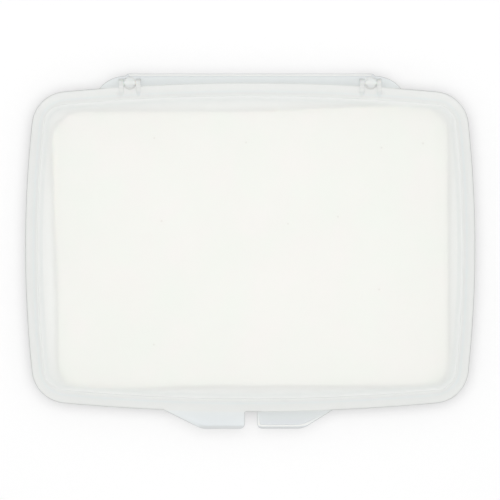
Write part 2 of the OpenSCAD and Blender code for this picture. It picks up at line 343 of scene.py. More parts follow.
def inward_normals(path):
    """For each point of a counter-clockwise path, the way in, longer where it bends."""
    normals = []
    for i, p in enumerate(path):
        before = (p - path[i - 1]).normalized()
        after = (path[(i + 1) % len(path)] - p).normalized()
        a = Vector((-before.y, before.x))
        b = Vector((-after.y, after.x))
        middle = (a + b).normalized()
        normals.append(middle / max(0.5, middle.dot(a)))
    return normals


def round_edge(inset, z, radius, start, end, steps=4):
    """(inset, z) points along a round edge about a centre. 0 degrees is inwards, 90 is up."""
    return [
        (inset + radius * d.x, z + radius * d.y)
        for d in (direction(start + (end - start) * i / steps) for i in range(steps + 1))
    ]


def rim_edge(radius, bottom, top):
    """(inset, z) points up the outer edge of a rim, rounded below and above."""
    below = round_edge(radius, bottom + radius, radius, 270, 180, 3)
    return below + round_edge(radius, top - radius, radius, 180, 90, 3)


# ---------- meshes

# In degrees
SHARP = 32.0


def add_object(name, data):
    obj = bpy.data.objects.new(name, data)
    bpy.context.scene.collection.objects.link(obj)
    return obj


class Solid:
    """A closed mesh in the making, in millimetres round the middle of the box."""

    def __init__(self, tone=0.0):
        self.bm = bmesh.new()
        self.tone = tone
        self.tones = self.bm.verts.layers.float.new("tone")

    def vert(self, x, y, z, tone=None):
        """A vertex with its tone, the piece's own if none is given."""
        vert = self.bm.verts.new((x, y, z))
        vert[self.tones] = self.tone if tone is None else tone
        return vert

    def loop(self, path, z, tone=None):
        """A closed loop of vertices: z and tone are one value, or one for each point."""
        heights = z if isinstance(z, list) else [z] * len(path)
        tones = tone if isinstance(tone, list) else [tone] * len(path)
        return [self.vert(p.x, p.y, h, t) for p, h, t in zip(path, heights, tones)]

    def skin(self, loops):
        """Quads between each loop and the next."""
        for a, b in zip(loops, loops[1:]):
            for i in range(len(a)):
                self.bm.faces.new((a[i - 1], a[i], b[i], b[i - 1]))

    def rings(self, profile):
        """Loops of the rim's outline, one for each (inset, z) of a profile, skinned."""
        loops = [self.loop(outline(inset), z) for inset, z in profile]
        self.skin(loops)
        return loops

    def sweep(self, path, section):
        """Sweeps an edge along a path, with section(p) giving (inset, z, tone) of every
        loop at a point of it. Returns the first and the last loop."""
        normals = inward_normals(path)
        loops = []
        for step in zip(*(section(p) for p in path)):
            insets, heights, tones = (list(values) for values in zip(*step))
            places = [p + n * inset for p, n, inset in zip(path, normals, insets)]
            loops.append(self.loop(places, heights, tones))
        self.skin(loops)
        return loops[0], loops[-1]

    def fill(self, *loops):
        """A flat region between one loop and the loops inside it."""
        get = self.bm.edges.get
        edges = [get((loop[i - 1], loop[i])) for loop in loops for i in range(len(loop))]
        bmesh.ops.triangle_fill(self.bm, use_beauty=True, edges=edges)

    def cap(self, loop):
        self.bm.faces.new(loop)

    def tube(self, loops):
        """Skins the loops and caps the first and the last."""
        self.skin(loops)
        self.cap(loops[0])
        self.cap(loops[-1])

    def plate(self, loop, bulge, steps=6):
        """Closes a loop with rings that shrink to its middle and rise by bulge there."""
        loops = [loop]
        for i in range(1, steps):
            share = 1 - i / steps
            rise = bulge * (1 - share**2)
            ring = [self.vert(v.co.x * share, v.co.y * share, v.co.z + rise) for v in loop]
            loops.append(ring)
        self.skin(loops)
        self.cap(loops[-1])

    def to_object(self, name, sharp=SHARP):
        """The finished mesh as an object in metres, in the frame's own place."""
        bmesh.ops.recalc_face_normals(self.bm, faces=self.bm.faces)
        to_frame = Matrix.Scale(MM, 4) @ Matrix.Translation((0, BODY_Y, 0))
        bmesh.ops.transform(self.bm, matrix=to_frame, verts=self.bm.verts)
        mesh = bpy.data.meshes.new(name)
        self.bm.to_mesh(mesh)
        self.bm.free()
        obj = add_object(name, mesh)
        smooth(obj, sharp)
        return obj


def smooth(obj, sharp=SHARP):
    """Smooth shading, with edges past an angle left sharp and flat faces kept flat."""
    mesh = obj.data
    mesh.shade_smooth()
    mesh.set_sharp_from_angle(angle=math.radians(sharp))
    if not obj.modifiers:
        weights = obj.modifiers.new("flat faces stay flat", "WEIGHTED_NORMAL")
        weights.keep_sharp = True


def combine(obj, tool, operation):
    """Adds tool to obj or cuts it out, and removes tool."""
    weights = obj.modifiers[0]
    weights.show_viewport = False
    modifier = obj.modifiers.new("combine", "BOOLEAN")
    modifier.operation = operation
    modifier.solver = "EXACT"
    modifier.object = tool
    evaluated = obj.evaluated_get(bpy.context.evaluated_depsgraph_get())
    mesh = bpy.data.meshes.new_from_object(evaluated)
    obj.modifiers.remove(modifier)
    weights.show_viewport = True
    mesh.name = obj.name
    obj.data = mesh
    bpy.data.objects.remove(tool)


def finish_shell(solid, name, tools, bore, length):
    """A moulding as an object, with its parts of the hinge added and the pins' bores cut."""
    shell = solid.to_object(name)
    for tool in tools:
        combine(shell, tool, "UNION")
    for side in (-1, 1):
        combine(shell, x_rod(side * HINGE_X, bore, length), "DIFFERENCE")
    smooth(shell)
    write_insets(shell)
    return shell


def side_loop(solid, path, normals, x, inset):
    """A loop in a plane across X, from (y, z) points about the hinge axis."""
    moved = [p + n * inset for p, n in zip(path, normals)]
    return [solid.vert(x, HALF_D + p.x, AXIS_Z + p.y) for p in moved]


def x_rod(centre_x, radius, length):
    """A round rod along X on the hinge axis."""
    solid = Solid()
    circle = arc((0, 0), radius, 0, 360, 32)
    flat = [Vector((0, 0))] * len(circle)
    ends = [side_loop(solid, circle, flat, centre_x + x, 0) for x in (-length / 2, length / 2)]
    solid.tube(ends)
    return solid.to_object("rod")


# ---------- tones

# Tone of the plastic: 1 is painted shade along an edge, -1 painted light on lips and posts. Edges
# are painted dark for EDGE_FULL and fade over EDGE_FADE, then softly. The tabs' front edges get
# paler, wider painted shade
EDGE_FULL = 0.1
EDGE_FADE = 0.5
SOFT_TONE = 0.17
SOFT_FADE = 1.7
FRONT_TONE = 0.85
FRONT_FULL = 1.0
FRONT_FADE = 1.4
FRONT_SPAN = 2

# What is left of the painted edge shade where the lid lies over the tray, and the band of painted
# light along the lid's back
COVERED_EDGE = 0.15
BACK_LIGHT_TONE = -0.3
BACK_Y = 70
BACK_FADE = 5
BACK_INSET = 0.6
BACK_DEPTH = 1.2

# Tones at the hinge, which paint light on the collars and posts to lift the shade round them and
# leave the lugs a little darker, the insets that its parts take their haze from, and the search's
# margin
LUG_TONE = 0.08
LUG_INSET = 9.6
COLLAR_LIGHT_TONE = -1.0
POST_LIGHT_TONE = -0.22
POST_INSET = -0.3
SPARE = 0.02

# A lip's inner side, as (distance past its top, share of its height, tone), with painted light on
# its top and side, and its foot, with painted shade
LIP_SIDE = [(0.0, 1.0, -1.0), (0.15, 0.85, -1.0), (0.35, 0.3, -0.5)]
LIP_FOOT = 0.5
LIP_FOOT_SHADE_TONE = 0.3
LIP_CLEAR = 2.3

# Between the tray edge's loops where it has no lip
LOOP_GAP = 0.05

# Loops on the lid's rim for its fading tone
TONE_INSETS = (0.45, 0.6, 0.9, 1.2, 1.6, 2.0, 2.4)

# How near to a notch these loops close up, and how much
NARROW_REACH = 2
NARROW_SHARE = 0.4
NARROW_SLOPE = 0.05


def front_share(p):
    """1 along the tabs' front edges, 0 from FRONT_SPAN behind them."""
    return smooth_step((FRONT_SPAN - HALF_D - TAB_REACH - p.y) / FRONT_SPAN)


def edge_tone(p, inset):
    """How much painted shade a moulding's outer edge gets, at a distance in from a point of it."""
    sharp = smooth_step(1 - (inset - EDGE_FULL) / EDGE_FADE)
    side = max(sharp, SOFT_TONE * smooth_step(1 - inset / SOFT_FADE))
    front = FRONT_TONE * smooth_step(1 - (inset - FRONT_FULL) / FRONT_FADE)
    return side + (front - side) * front_share(p)


def lid_edge_tone(p, inset):
    """The same for the lid's rim, which also gets painted light round its notches and along its
    back.
    """
    if math.hypot(abs(p.x) - HINGE_X, p.y - HALF_D) < NOTCH_R + 0.1:
        return BACK_LIGHT_TONE
    over_shelf = p.y > 0 and abs(p.x) < SHELF_ROOT_X
    over_tab = rim_inset(p.x, p.y) > -0.5 and p.y < 0 and TRAY_TAB[0] < p.x < TRAY_TAB[2]
    strength = COVERED_EDGE if over_shelf or over_tab else 1.0
    back = smooth_step((p.y - BACK_Y) / BACK_FADE)
    inner = smooth_step((inset - BACK_INSET) / BACK_DEPTH)
    return edge_tone(p, inset) * strength + BACK_LIGHT_TONE * back * inner


def write_insets(obj):
    """Gives every vertex its distance in from the rim's outline, in millimetres."""
    insets = obj.data.attributes.new("inset", "FLOAT", "POINT")
    for vert, value in zip(obj.data.vertices, insets.data):
        value.value = rim_inset(vert.co.x / MM, vert.co.y / MM - BODY_Y)


def dress_hinge(obj, reach, height, tone, inset):
    """Gives a tone (painted light below 0, painted shade above) and an inset to what stands above a
    height, within a reach of the posts.
    """
    reach += SPARE
    height += SPARE
    tones = obj.data.attributes["tone"].data
    insets = obj.data.attributes["inset"].data
    for vert, tone_there, inset_there in zip(obj.data.vertices, tones, insets):
        x, y, z = vert.co / MM
        across = abs(y - BODY_Y - HALF_D)
        if abs(abs(x) - HINGE_X) < reach and across < reach and z > height:
            tone_there.value = tone
            inset_there.value = inset


# ---------- lid

# The tongue, and the catch on its front
TONGUE_Z = LID_LOW.z
TONGUE_IN = 5.22
TONGUE_T = 1.0
CATCH_X = 1.0
CATCH_HALF = 11.0
CATCH_Z = 9.85
CATCH_H = 0.7
CATCH_REACH = 0.55
CATCH_FADE = 1.5
CATCH_SLOPE = 1.4
CATCH_LOOPS = (10.35, 10.2, 10.0, 9.8)
CATCH_LIMIT = 10.3

# The seal's groove, the wall's foot, and the shoulder, which first turns sharply through
# SHOULDER_TURN degrees
GROOVE = (3.35, 5.05)
GROOVE_TOP = LID_Z + 0.6
LID_FOOT_IN = 6.6
FOOT_OUTER_R = 0.25
FOOT_INNER_R = 0.6
LID_SHOULDER_IN = 7.2
SHOULDER_EDGE_R = 0.9
SHOULDER_TURN = 62.0
SHOULDER_R = 5.0
INNER_SHOULDER_R = 3.5 - LID_WALL
LID_CROWN = 0.2

# Hinge lugs, whose wedges sink into the rim
WEDGE_REACH = 4
WEDGE_DROP = 0.2
WEDGE_RISE = 0.3
WEDGE_BACK = 0.3
LUG_CHAMFER = 0.25


def lid_outer_profile():
    """From the rim's upper face up the wall and over the shoulder."""
    turned = 180 - SHOULDER_TURN
    between = (SHOULDER_R - SHOULDER_EDGE_R) * direction(turned)
    edge = Vector((LID_SHOULDER_IN + SHOULDER_EDGE_R, LID_TOP - LID_CROWN - SHOULDER_R + between.y))
    crown = edge - between
    foot_r = FOOT_OUTER_R
    return (
        round_edge(LID_FOOT_IN - foot_r, LID_RIM_TOP + foot_r, foot_r, 270, 360, 3)
        + round_edge(*edge, SHOULDER_EDGE_R, 180, turned, 5)
        + round_edge(*crown, SHOULDER_R, turned, 90, 8)[1:]
    )


def lid_inner_profile():
    """From the rim's lower face up the inside of the wall to the ceiling."""
    corner_r = INNER_SHOULDER_R
    ceiling = LID_TOP - LID_CROWN - LID_WALL
    corner_in = LID_SHOULDER_IN + LID_WALL + corner_r
    corner = round_edge(corner_in, ceiling - corner_r, corner_r, 180, 90, 8)
    foot_in = LID_FOOT_IN + LID_WALL - FOOT_INNER_R
    return round_edge(foot_in, LID_Z + FOOT_INNER_R, FOOT_INNER_R, 270, 360, 4) + corner


def closure_profile():
    """From the rim's lower face round the seal's groove and down round the tongue."""
    nose = TONGUE_T / 2
    first, last = GROOVE
    groove = [(first, LID_Z), (first, GROOVE_TOP), (last, GROOVE_TOP), (last, LID_Z)]
    outer = [(TONGUE_IN, z) for z in (LID_Z, *CATCH_LOOPS)]
    tip = round_edge(TONGUE_IN + nose, TONGUE_Z + nose, nose, 180, 360, 8)
    return groove + outer + tip + [(TONGUE_IN + TONGUE_T, LID_Z)]


def add_catch(solid):
    """Pushes the front of the tongue outwards into a low catch."""
    for v in solid.bm.verts:
        on_tongue = v.co.y < FRONT_WALL_Y and TONGUE_Z + 0.2 < v.co.z < CATCH_LIMIT
        outside = -rim_y(v.co.x, TONGUE_IN + 0.2) > v.co.y
        if on_tongue and outside and abs(v.co.x) < FRONT_HALF:
            along = smooth_step((CATCH_HALF - abs(v.co.x - CATCH_X)) / CATCH_FADE)
            up = smooth_step(CATCH_SLOPE - abs(v.co.z - CATCH_Z) / (CATCH_H / 2))
            v.co.y -= CATCH_REACH * along * up


def narrow(p, inset):
    """An inset held back near a hinge notch, whose mouth has small corners."""
    if p.y > 0 and abs(abs(p.x) - HINGE_X) < NOTCH_R + NARROW_REACH:
        return NARROW_SHARE * min(inset, LID_EDGE_R + NARROW_SLOPE * (inset - LID_EDGE_R))
    return inset


def lid_edge_section(p):
    """Across the lid's rim at a point of its contour: (inset, z, tone) of each loop."""
    edge = rim_edge(LID_EDGE_R, LID_Z, LID_RIM_TOP)
    edge += [(inset, LID_RIM_TOP) for inset in TONE_INSETS]
    section = [(narrow(p, inset), z, lid_edge_tone(p, inset)) for inset, z in edge]
    section[0] = (*section[0][:2], 0.0)
    return section


def hinge_lug(centre_x):
    """A barrel round the pin, on a wedge that runs down into the lid's rim."""
    foot_z = LID_Z - AXIS_Z + WEDGE_RISE
    end_z = LID_RIM_TOP - WEDGE_DROP - AXIS_Z
    reach = HALF_D - rim_y(abs(centre_x)) + WEDGE_REACH
    barrel = arc((0, 0), LUG_R, 0, 90, 10, last=True)
    wedge = [Vector(p) for p in ((-reach, end_z), (-reach, foot_z), (WEDGE_BACK, foot_z))]
    path = barrel + wedge + arc((0, 0), LUG_R, -55, 0, 6)
    normals = inward_normals(path)
    half = LUG_W / 2
    flat = half - LUG_CHAMFER
    slices = [(-half, LUG_CHAMFER), (-flat, 0), (flat, 0), (half, LUG_CHAMFER)]
    solid = Solid(LUG_TONE)
    solid.tube([side_loop(solid, path, normals, centre_x + x, inset) for x, inset in slices])
    return solid.to_object("lug")


def lid_shell():
    """The lid's one moulding: rim with tab and notches, wall, top, groove and tongue."""
    solid = Solid()
    low, high = solid.sweep(lid_contour(), lid_edge_section)
    outer = solid.rings(lid_outer_profile())
    inner = solid.rings(lid_inner_profile())
    closure = solid.rings(closure_profile())
    solid.fill(high, outer[0])
    solid.fill(low, closure[0])
    solid.skin([closure[-1], inner[0]])
    solid.plate(outer[-1], LID_CROWN)
    solid.plate(inner[-1], LID_CROWN)
    add_catch(solid)
    beside = LUG_X + LUG_W / 2
    lugs = (hinge_lug(side * HINGE_X + x) for side in (-1, 1) for x in (-beside, beside))
    lid = finish_shell(solid, "lid_shell", lugs, BORE_LUG, 2 * LUG_END + 2)
    dress_hinge(lid, LUG_END, LID_RIM_TOP, LUG_TONE, LUG_INSET)
    return lid


# ---------- tray

# The tray's well: its mouth, the loops for the catch's recess, and its wall's foot
WELL_IN = 4.8
WELL_EDGE_R = 0.4
RECESS_IN = 4.88
RECESS_LOOPS = (10.45, 10.3, 9.4, 9.25)
WELL_FOOT_IN = 5.4
WELL_FOOT_R = 1.2

# The catch's recess, a little longer than the catch
RECESS_FROM = 4.7
RECESS_LOW = 9.35
RECESS_HIGH = 10.35
RECESS_DEPTH = 0.55
RECESS_SPARE = 0.6
RECESS_FADE = 0.8

# The tray's outside: rim, its fillet on the wall, the wall's foot, and the foot ring
TRAY_RIM_W = 3.6
NECK_R = 0.5
WALL_FOOT_IN = 4.2
WALL_FOOT_R = 2.4
FOOT_IN = 8.1
FOOT_W = 3.0
FOOT_EDGE_R = 0.35
FOOT_FLARE = 0.2

# A post's bevel on its collar
POST_BEVEL = 0.1


def raised_lip(p, front):
    """Over a raised lip from its upper edge, as (inset, share of its height, tone): painted light
    along its top and side, painted shade at its foot and along the tabs' front.
    """
    width = SHELF_LIP_W if p.y > 0 else TAB_LIP_W + (FRONT_LIP_W - TAB_LIP_W) * front
    dark_to = TRAY_EDGE_R + LOOP_GAP + (FRONT_FULL - TRAY_EDGE_R) * front
    top = [
        (dark_to, 1.0, edge_tone(p, dark_to) * front - (1 - front)),
        (dark_to + LIP_EDGE, 1.0, -1.0),
    ]
    side = [(width + past, height, tone) for past, height, tone in LIP_SIDE]
    foot = (width + LIP_FOOT, 0.0, LIP_FOOT_SHADE_TONE * (1 - front))
    return top + side + [foot, (LIP_CLEAR, 0.0, 0.0)]


def tray_edge_section(p):
    """The same for the tray's rim, and on over the raised lip, if there is one."""
    share = lip_share(p)
    radius = TRAY_EDGE_R
    bottom = TRAY_H - TRAY_RIM_T
    top = TRAY_H + LIP_H * share
    section = [(inset, z, edge_tone(p, inset)) for inset, z in rim_edge(radius, bottom, top)]
    section[0] = (radius, bottom, 0.0)
    for i, (inset, height, tone) in enumerate(raised_lip(p, front_share(p))):
        plain = radius + LOOP_GAP * (i + 1)
        place = plain + (inset - plain) * share
        section.append((place, TRAY_H + LIP_H * share * height, tone * share))
    return section


def tray_inner_profile():
    """From the rim's upper face down the inside of the wall to the floor."""
    edge = round_edge(WELL_IN + WELL_EDGE_R, TRAY_H - WELL_EDGE_R, WELL_EDGE_R, 90, 180, 3)
    recess = [(RECESS_IN, z) for z in RECESS_LOOPS]
    corner_in = WELL_FOOT_IN + WELL_FOOT_R
    return edge + recess + round_edge(corner_in, FLOOR_TOP + WELL_FOOT_R, WELL_FOOT_R, 180, 270, 6)


def tray_outer_profile():
    """From the rim's lower face down the outside of the wall, under it and round the foot."""
    under = TRAY_H - TRAY_RIM_T
    neck_z = under - NECK_R
    neck = [(TRAY_RIM_W - NECK_R * (1 - d.y), neck_z + NECK_R * d.x) for d in quarter_turn(4)]
    wall_in = WALL_FOOT_IN + WALL_FOOT_R
    wall = round_edge(wall_in, FOOT_H + WALL_FOOT_R, WALL_FOOT_R, 180, 270, 7)
    end = FOOT_IN + FOOT_W
    root_z = FOOT_H - FOOT_FLARE
    foot = [(FOOT_IN - FOOT_FLARE, FOOT_H), (FOOT_IN, root_z)]
    foot += round_edge(FOOT_IN + FOOT_EDGE_R, FOOT_EDGE_R, FOOT_EDGE_R, 180, 270, 3)
    foot += round_edge(end - FOOT_EDGE_R, FOOT_EDGE_R, FOOT_EDGE_R, 270, 360, 3)
    return neck + wall + foot + [(end, root_z), (end + FOOT_FLARE, FOOT_H)]


def add_catch_recess(solid):
    """Pushes the front wall's inner face outwards to take the catch."""
    for v in solid.bm.verts:
        in_front = -rim_y(v.co.x, RECESS_FROM) < v.co.y < FRONT_WALL_Y
        if in_front and RECESS_LOW < v.co.z < RECESS_HIGH and abs(v.co.x) < FRONT_HALF:
            past_end = CATCH_HALF + RECESS_SPARE - abs(v.co.x - CATCH_X)
            v.co.y -= RECESS_DEPTH * smooth_step(past_end / RECESS_FADE)


def hinge_post(centre_x):
    """A round post with a flat top, in a low collar."""
    profile = [(COLLAR_R, TRAY_H - 0.4), (COLLAR_R, COLLAR_TOP - COLLAR_EDGE)]
    profile += [(COLLAR_R - COLLAR_EDGE, COLLAR_TOP), (POST_R + POST_BEVEL, COLLAR_TOP)]
    profile += [(POST_R, COLLAR_TOP + POST_BEVEL)]
    edge = Vector((POST_R - POST_EDGE_R, POST_TOP - POST_EDGE_R))
    profile += [edge + POST_EDGE_R * d for d in quarter_turn(5)]
    profile += [(1.2, POST_TOP)]
    solid = Solid(POST_LIGHT_TONE)
    middle = (centre_x, HALF_D)
    solid.tube([solid.loop(arc(middle, radius, 0, 360, 40), z) for radius, z in profile])
    return solid.to_object("post")


def tray_shell():
    """The tray's one moulding: rim with shelf and tab, wall, floor and foot ring."""
    solid = Solid()
    low, high = solid.sweep(tray_contour(), tray_edge_section)
    inner = solid.rings(tray_inner_profile())
    outer = solid.rings(tray_outer_profile())
    solid.fill(high, inner[0])
    solid.fill(low, outer[0])
    solid.plate(inner[-1], 0.0)
    solid.plate(outer[-1], 0.0)
    add_catch_recess(solid)
    posts = (hinge_post(side * HINGE_X) for side in (-1, 1))
    tray = finish_shell(solid, "tray_shell", posts, BORE_POST, 3 * POST_R)
    dress_hinge(tray, COLLAR_R, TRAY_H, COLLAR_LIGHT_TONE, POST_INSET)
    dress_hinge(tray, POST_R, POST_TOP - 0.1, POST_LIGHT_TONE, POST_INSET)
    return tray


# ---------- seal, sponge, paper

# The seal: half width, height of its round lower side, and bevel in the groove
SEAL_HALF = 0.75
SEAL_BEAD = 0.3
SEAL_BEVEL = 0.1

# Sponge and paper, with the loops up the foam's side as shares of its height
PAD_CORNER_R = 11.5
SPONGE_TURN = 2.2
SPONGE_HALF = (99.4, 69.9)
FOAM_EDGE_R = 0.7
FOAM_SIDE = (0.32, 0.45, 0.58, 0.7)
PAPER_RINGS = 22

# Pits of the foam's open cells, and the sheet's broad unevenness
PIT_REACH = 0.62
PIT_DEPTH = 0.28
WAVE_DEPTH = 0.12

# Waves of the damp paper, as (size in X, size in Y, layer), and how high they lift it
BROAD_WAVE = (46, 38, 3.1)
FINE_WAVE = (15, 17, 7.7)
LEAST_LIFT = 0.02
BROAD_LIFT = 0.28
FINE_LIFT = 0.05
EDGE_LIFT = 0.22


def seal_piece():
    """The seal ring, with a round lower side."""
    solid = Solid()
    middle = (GROOVE[0] + GROOVE[1]) / 2
    half = SEAL_HALF
    low, high = SEAL_LOW.z, SEAL_HIGH.z
    bead = [(middle - half * d.x, low + SEAL_BEAD - SEAL_BEAD * d.y) for d in quarter_turn(5)]
    bead += [(middle + half * d.y, low + SEAL_BEAD - SEAL_BEAD * d.x) for d in quarter_turn(5)][1:]
    profile = bead + [(middle + half - SEAL_BEVEL, high), (middle - half + SEAL_BEVEL, high)]
    loops = [solid.loop(outline(inset), z) for inset, z in profile]
    solid.skin(loops + loops[:1])
    return solid.to_object("seal_bead", 50.0)


def pad_outline(half_x, half_y, corner_r, spacing):
    """A rounded rectangle with evenly spaced points."""
    corner_steps = max(6, round(corner_r * math.pi / 2 / spacing))
    x, y = half_x - corner_r, half_y - corner_r
    corners = [(x, -y, -90), (x, y, 0), (-x, y, 90), (-x, -y, 180)]
    path = []
    for i, (cx, cy, start) in enumerate(corners):
        curve = arc((cx, cy), corner_r, start, start + 90, corner_steps, last=True)
        nx, ny, following = corners[(i + 1) % 4]
        target = Vector((nx, ny)) + corner_r * direction(following)
        count = round((target - curve[-1]).length / spacing)
        path += curve + [curve[-1].lerp(target, j / count) for j in range(1, count)]
    return path


def foam_profile(low, high):
    """From the foam's lower face up its side and over its top."""
    edge = FOAM_EDGE_R
    under = [(6.0, low), (edge, low)]
    under += round_edge(edge, low + edge, edge, 270, 180, 2)[1:]
    side = [(0.0, low + (high - low) * share) for share in FOAM_SIDE]
    side += round_edge(edge, high - edge, edge, 180, 90, 3)
    top = [(edge + 0.7 * (i + 1), high) for i in range(11)]
    return under + side + top


def foam_pit(x, y, z):
    """Depth of the foam's open cells at a point, in millimetres."""
    place = Vector((x, y, z))
    cells = noise.voronoi(place / 1.5)[0]
    wide = noise.noise(place / 9) * WAVE_DEPTH + WAVE_DEPTH
    return PIT_DEPTH * max(0.0, PIT_REACH - cells[0]) + max(0.0, wide)


def sponge_piece():
    """The damp foam sheet, with slightly ragged sides and small pits."""
    low, high = SPONGE_LOW.z, SPONGE_HIGH.z
    solid = Solid()
    path = pad_outline(*SPONGE_HALF, PAD_CORNER_R, 0.8)
    normals = inward_normals(path)
    turn = Matrix.Rotation(math.radians(SPONGE_TURN), 2)
    loops = []
    for inset, z in foam_profile(low, high):
        loop = []
        for p, n in zip(path, normals):
            place = turn @ (p + n * inset)
            pit = foam_pit(place.x, place.y, z)
            if inset <= FOAM_EDGE_R:
                place += turn @ n * pit
            on_top = inset >= FOAM_EDGE_R and z == high
            loop.append(solid.vert(place.x, place.y, z - pit if on_top else z))
        loops.append(loop)
    solid.tube(loops)
    return solid.to_object("foam_sheet", 70.0)


def wave(p, size_x, size_y, layer):
    """A smooth wave over the paper, from 0 to 1."""
    return 0.5 + 0.5 * noise.noise(Vector((p.x / size_x, p.y / size_y, layer)))


def cockle(p, depth):
    """How high the damp paper lifts off the foam, at a share of the way in from its edge."""
    broad = wave(p, *BROAD_WAVE)
    fine = wave(p, *FINE_WAVE)
    edge = max(0.0, 1 - depth * 5)
    return LEAST_LIFT + BROAD_LIFT * broad**2 + FINE_LIFT * fine + EDGE_LIFT * edge * fine


def paper_piece():
    """The palette paper: a thin sheet, a little cockled by the damp foam."""
    centre = (PAPER_LOW + PAPER_HIGH) / 2
    half = (PAPER_HIGH - PAPER_LOW) / 2
    middle = Vector((centre.x, centre.y - BODY_Y))
    thick = PAPER_HIGH.z - PAPER_LOW.z
    solid = Solid()
    path = pad_outline(half.x, half.y, PAD_CORNER_R, 3.0)
    upper, lower = [], []
    for i in range(PAPER_RINGS):
        share = 1 - (i / PAPER_RINGS) ** 1.1 * 0.97
        places = [middle + Vector((p.x * share, p.y * share)) for p in path]
        waves = [cockle(p, i / PAPER_RINGS) for p in places]
        upper.append(solid.loop(places, [PAPER_LOW.z + w + thick for w in waves]))
        lower.append(solid.loop(places, [PAPER_LOW.z + w for w in waves]))
    solid.skin(list(reversed(lower)) + upper)
    solid.cap(upper[-1])
    solid.cap(lower[-1])
    return solid.to_object("paper_sheet", 50.0)


# ---------- shader nodes

# Texture scales are cells to a metre, and bump distances are metres


def material_with(name):
    """A new material and its empty node tree."""
    material = bpy.data.materials.new(name)
    material.use_nodes = True
    material.node_tree.nodes.clear()
    return material, material.node_tree


def add_node(tree, kind, sockets=None, **settings):
    """A shader node with its settings. A socket takes a value, or another node's output."""
    node = tree.nodes.new("ShaderNode" + kind)
    for key, value in settings.items():
        setattr(node, key, value)
    for key, value in (sockets or {}).items():
        if isinstance(value, bpy.types.NodeSocket):
            tree.links.new(value, node.inputs[key])
        else:
            node.inputs[key].default_value = value
    return node


def add_math(tree, operation, a, b):
    return add_node(tree, "Math", {0: a, 1: b}, operation=operation).outputs[0]


def object_place(tree):
    return add_node(tree, "TexCoord").outputs["Object"]


def noise_node(tree, scale, detail=2.0, roughness=0.5, stretch=None):
    """A noise texture in object space, or stretched along the axes."""
    where = object_place(tree)
    if stretch:
        where = add_node(tree, "Mapping", {"Vector": where, "Scale": stretch}).outputs[0]
    values = {"Vector": where, "Scale": scale, "Detail": detail, "Roughness": roughness}
    return add_node(tree, "TexNoise", values).outputs["Fac"]


def ramp(tree, factor, stops):
    """A colour ramp through (place, colour) stops."""
    node = add_node(tree, "ValToRGB", {"Fac": factor})
    elements = node.color_ramp.elements
    while len(elements) < len(stops):
        elements.new(0.5)
    for element, (place, colour) in zip(elements, stops):
        element.position = place
        element.color = (*colour, 1)
    return node.outputs["Color"]


def value_ramp(tree, factor, low, high, start=0.0, end=1.0):
    """A number from low to high, as a factor goes from start to end."""
    values = {"Value": factor, "From Min": start, "From Max": end, "To Min": low, "To Max": high}
    return add_node(tree, "MapRange", values).outputs["Result"]


def mix_number(tree, factor, a, b):
    """A number that goes from a to b with a factor."""
    return add_node(tree, "Mix", {"Factor": factor, "A": a, "B": b}).outputs["Result"]


def mix_colour(tree, factor, a, b):
    """The same for colours, which are sockets 6 and 7 of the node, and its output 2."""
    a, b = ((*colour, 1) if isinstance(colour, tuple) else colour for colour in (a, b))
    return add_node(tree, "Mix", {0: factor, 6: a, 7: b}, data_type="RGBA").outputs[2]


def mix_shader(tree, share, a, b):
    """Shader a, with a share of shader b mixed in."""
    node = add_node(tree, "MixShader", {"Fac": share})
    tree.links.new(a.outputs[0], node.inputs[1])
    tree.links.new(b.outputs[0], node.inputs[2])
    return node


def bump(tree, height, strength, distance):
    values = {"Height": height, "Strength": strength, "Distance": distance}
    return add_node(tree, "Bump", values).outputs["Normal"]


def principled_material(name, look):
    """A material of one principled shader, whose sockets look(tree) gives."""
    material, tree = material_with(name)
    body = add_node(tree, "BsdfPrincipled", look(tree))
    add_node(tree, "OutputMaterial", {"Surface": body.outputs[0]})
    return material


# ---------- materials

# Small dark specks, and the share of cells without one
SPECK_SCALE = 45.0
SPECK_STRENGTH = 0.6
SPECK_COLOUR = (0.33, 0.3, 0.26)
LID_RARITY = 0.8
PAPER_RARITY = 0.9

# The plastics: haze, whose bands also paint light and shade (darker on the tabs, the shelf, the
# wall's foot and the shoulder, lighter up the wall), its share at each face, and the shade that a
# face throws, each as (distance in from the rim's outline in millimetres, value)
LID_HAZE_AND_PAINTED_SHADING = [
    (-8.0, (0.775, 0.858, 0.902)),
    (-0.6, (0.95, 1.0, 1.0)),
    (0.2, (0.97, 0.98, 0.96)),
    (3.6, (0.97, 0.98, 0.96)),
    (4.2, (0.93, 0.97, 0.96)),
    (5.0, (0.965, 0.975, 0.955)),
    (6.1, (0.955, 0.965, 0.945)),
    (6.8, (0.915, 0.925, 0.91)),
    (7.5, (0.98, 0.985, 0.975)),
    (8.4, (0.92, 0.935, 0.92)),
    (9.4, (0.85, 0.873, 0.858)),
    (10.4, (0.83, 0.845, 0.825)),
    (12.4, (0.9, 0.902, 0.875)),
]
LID_SHARE = [(-8.0, 0.25), (-0.6, 0.36), (0.2, 0.52), (4.8, 0.55), (5.6, 0.85)]
LID_SHARE += [(6.2, 0.95), (7.6, 0.93), (8.6, 0.75), (10.4, 0.3), (11.6, 0.2)]
LID_SHADE = [(-0.6, 0.8), (0.2, 0.82), (6.0, 0.82), (7.0, 0.965), (9.0, 0.99)]
TRAY_HAZE_AND_PAINTED_SHADE = [
    (-8.0, (0.68, 0.742, 0.8)),
    (-5.0, (0.695, 0.752, 0.79)),
    (-3.5, (0.735, 0.81, 0.81)),
    (-0.6, (0.77, 0.835, 0.835)),
    (0.2, (0.97, 0.98, 0.96)),
]
TRAY_SHARE = [(-8.0, 0.25), (-0.6, 0.29), (0.2, 0.35), (6.5, 0.5)]
TRAY_SHADE = [(-0.6, 0.82), (0.2, 0.83), (4.0, 0.83), (5.0, 0.955), (7.0, 0.985)]
INSET_LOW = -10.0
INSET_HIGH = 20.0

